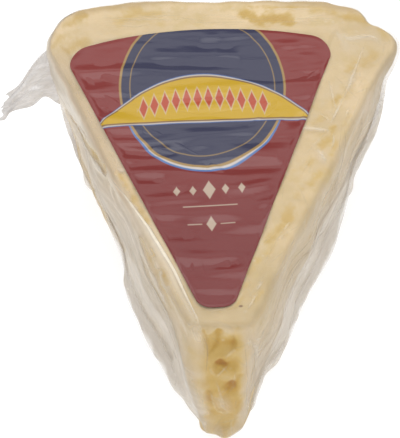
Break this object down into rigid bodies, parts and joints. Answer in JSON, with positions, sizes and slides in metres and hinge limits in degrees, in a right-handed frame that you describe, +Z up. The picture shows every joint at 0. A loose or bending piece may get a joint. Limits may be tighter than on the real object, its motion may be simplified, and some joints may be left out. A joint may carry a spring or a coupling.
{
  "type": "film-sealed cheese wedge",
  "caption": "Wedge of hard pale cheese sealed in clear shrunk film, with a flat rounded label on top and a torn film ear at one rind corner.",
  "frame": {"origin": "middle of the whole pack's footprint, ear included, on the surface it rests on", "axes": "+Z up out of the label, +Y towards the rind end, -Y towards the nose, +X to the right seen from the nose"},
  "size_m": [0.0964, 0.0982, 0.0461],
  "materials": {
    "cheese": "cream-yellow hard cheese seen through clear film, faintly glossy, with golden patches in its dips",
    "film": "clear shrunk film, milky where it is folded or stands away from the cheese",
    "label": "glossy printed label, wine red with a dark blue panel and a gold band"
  },
  "bodies": {
    "root": {"sealed_wedge": "cheese", "label": "label"}
  },
  "joints": []
}
